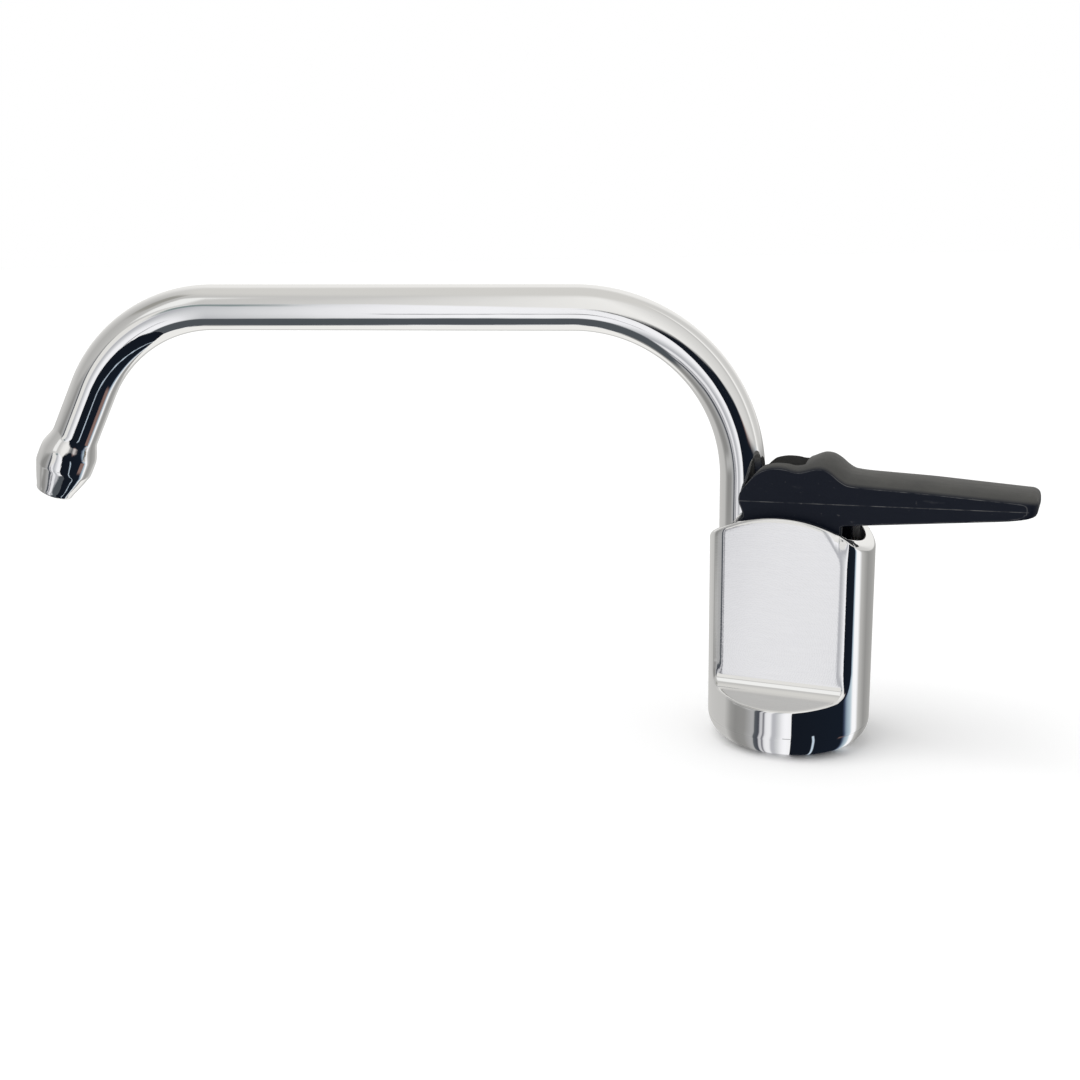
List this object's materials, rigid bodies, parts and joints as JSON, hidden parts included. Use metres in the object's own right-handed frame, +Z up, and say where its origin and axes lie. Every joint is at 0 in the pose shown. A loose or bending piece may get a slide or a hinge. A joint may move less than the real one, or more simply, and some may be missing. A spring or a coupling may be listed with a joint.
{
  "type": "folding caravan tap",
  "caption": "Chrome tap with a swivelling tube spout that folds down from a round flat-sided body, and a black forked lever that opens a plunger valve and works a pump switch.",
  "frame": {"origin": "mouth of the inlet thread on the body axis, in the plane of the underside that sits on the worktop", "axes": "+Z up along the body axis, +X from the body towards the lever tip, the spout arm towards -X"},
  "size_m": [0.2565, 0.0924, 0.1231],
  "materials": {
    "chrome_shell": "polished, faint circular polishing marks on the flats",
    "chrome_tube": "polished",
    "black_lever": "satin moulded",
    "cast_brass": "cast and machined",
    "steel": "bright drawn",
    "rubber": "moulded",
    "pale_plastic": "moulded",
    "switch_plastic": "moulded"
  },
  "bodies": {
    "base": {"body_shell": "chrome_shell", "inlet_seal": "rubber", "cable_grommet": "rubber", "manifold": "cast_brass", "shell_screws": "steel", "valve_seat": "pale_plastic", "valve_spring": "steel", "gland_nut": "cast_brass", "plunger_oring": "rubber", "hinge_pin": "steel", "pin_plug": "cast_brass", "pin_orings": "rubber", "friction_washers": "steel", "lever_pin": "steel", "switch_bracket": "steel", "bracket_screw": "steel", "switch_case": "switch_plastic", "switch_screws": "steel", "switch_terminals": "cast_brass"},
    "knuckle": {"knuckle": "cast_brass", "spigot_orings": "rubber", "spout_clip": "steel"},
    "spout": {"spout_tube": "chrome_tube", "outlet_insert": "pale_plastic"},
    "lever": {"lever": "black_lever", "lever_bushes": "pale_plastic", "lift_pin": "steel"},
    "plunger": {"valve_plunger": "cast_brass", "valve_washer": "rubber"},
    "button": {"switch_button": "pale_plastic"}
  },
  "joints": [
    {"name": "spout_fold", "type": "hinge", "parent": "base", "child": "knuckle", "pos_m": [-0.0136, 0, 0.042], "axis": [0, -1, 0], "range_deg": [0, 90]},
    {"name": "spout_swivel", "type": "hinge", "parent": "knuckle", "child": "spout", "pos_m": [-0.0136, 0, 0.06], "axis": [0, 0, 1], "range_deg": [-110, 70]},
    {"name": "lever_lift", "type": "hinge", "parent": "base", "child": "lever", "pos_m": [0.001, 0, 0.052], "axis": [0, -1, 0], "range_deg": [0, 20]},
    {"name": "plunger_lift", "type": "slide", "parent": "base", "child": "plunger", "axis": [0, 0, 1], "range_m": [0, 0.0033], "deforming": ["valve_spring"]},
    {"name": "button_rise", "type": "slide", "parent": "base", "child": "button", "axis": [0, 0, 1], "range_m": [0, 0.00095]}
  ],
  "couplings": [
    {"joint": "plunger_lift", "follows": "lever_lift", "m_per_rad": 0.009166},
    {"joint": "button_rise", "follows": "lever_lift", "m_per_rad": 0.00257}
  ]
}
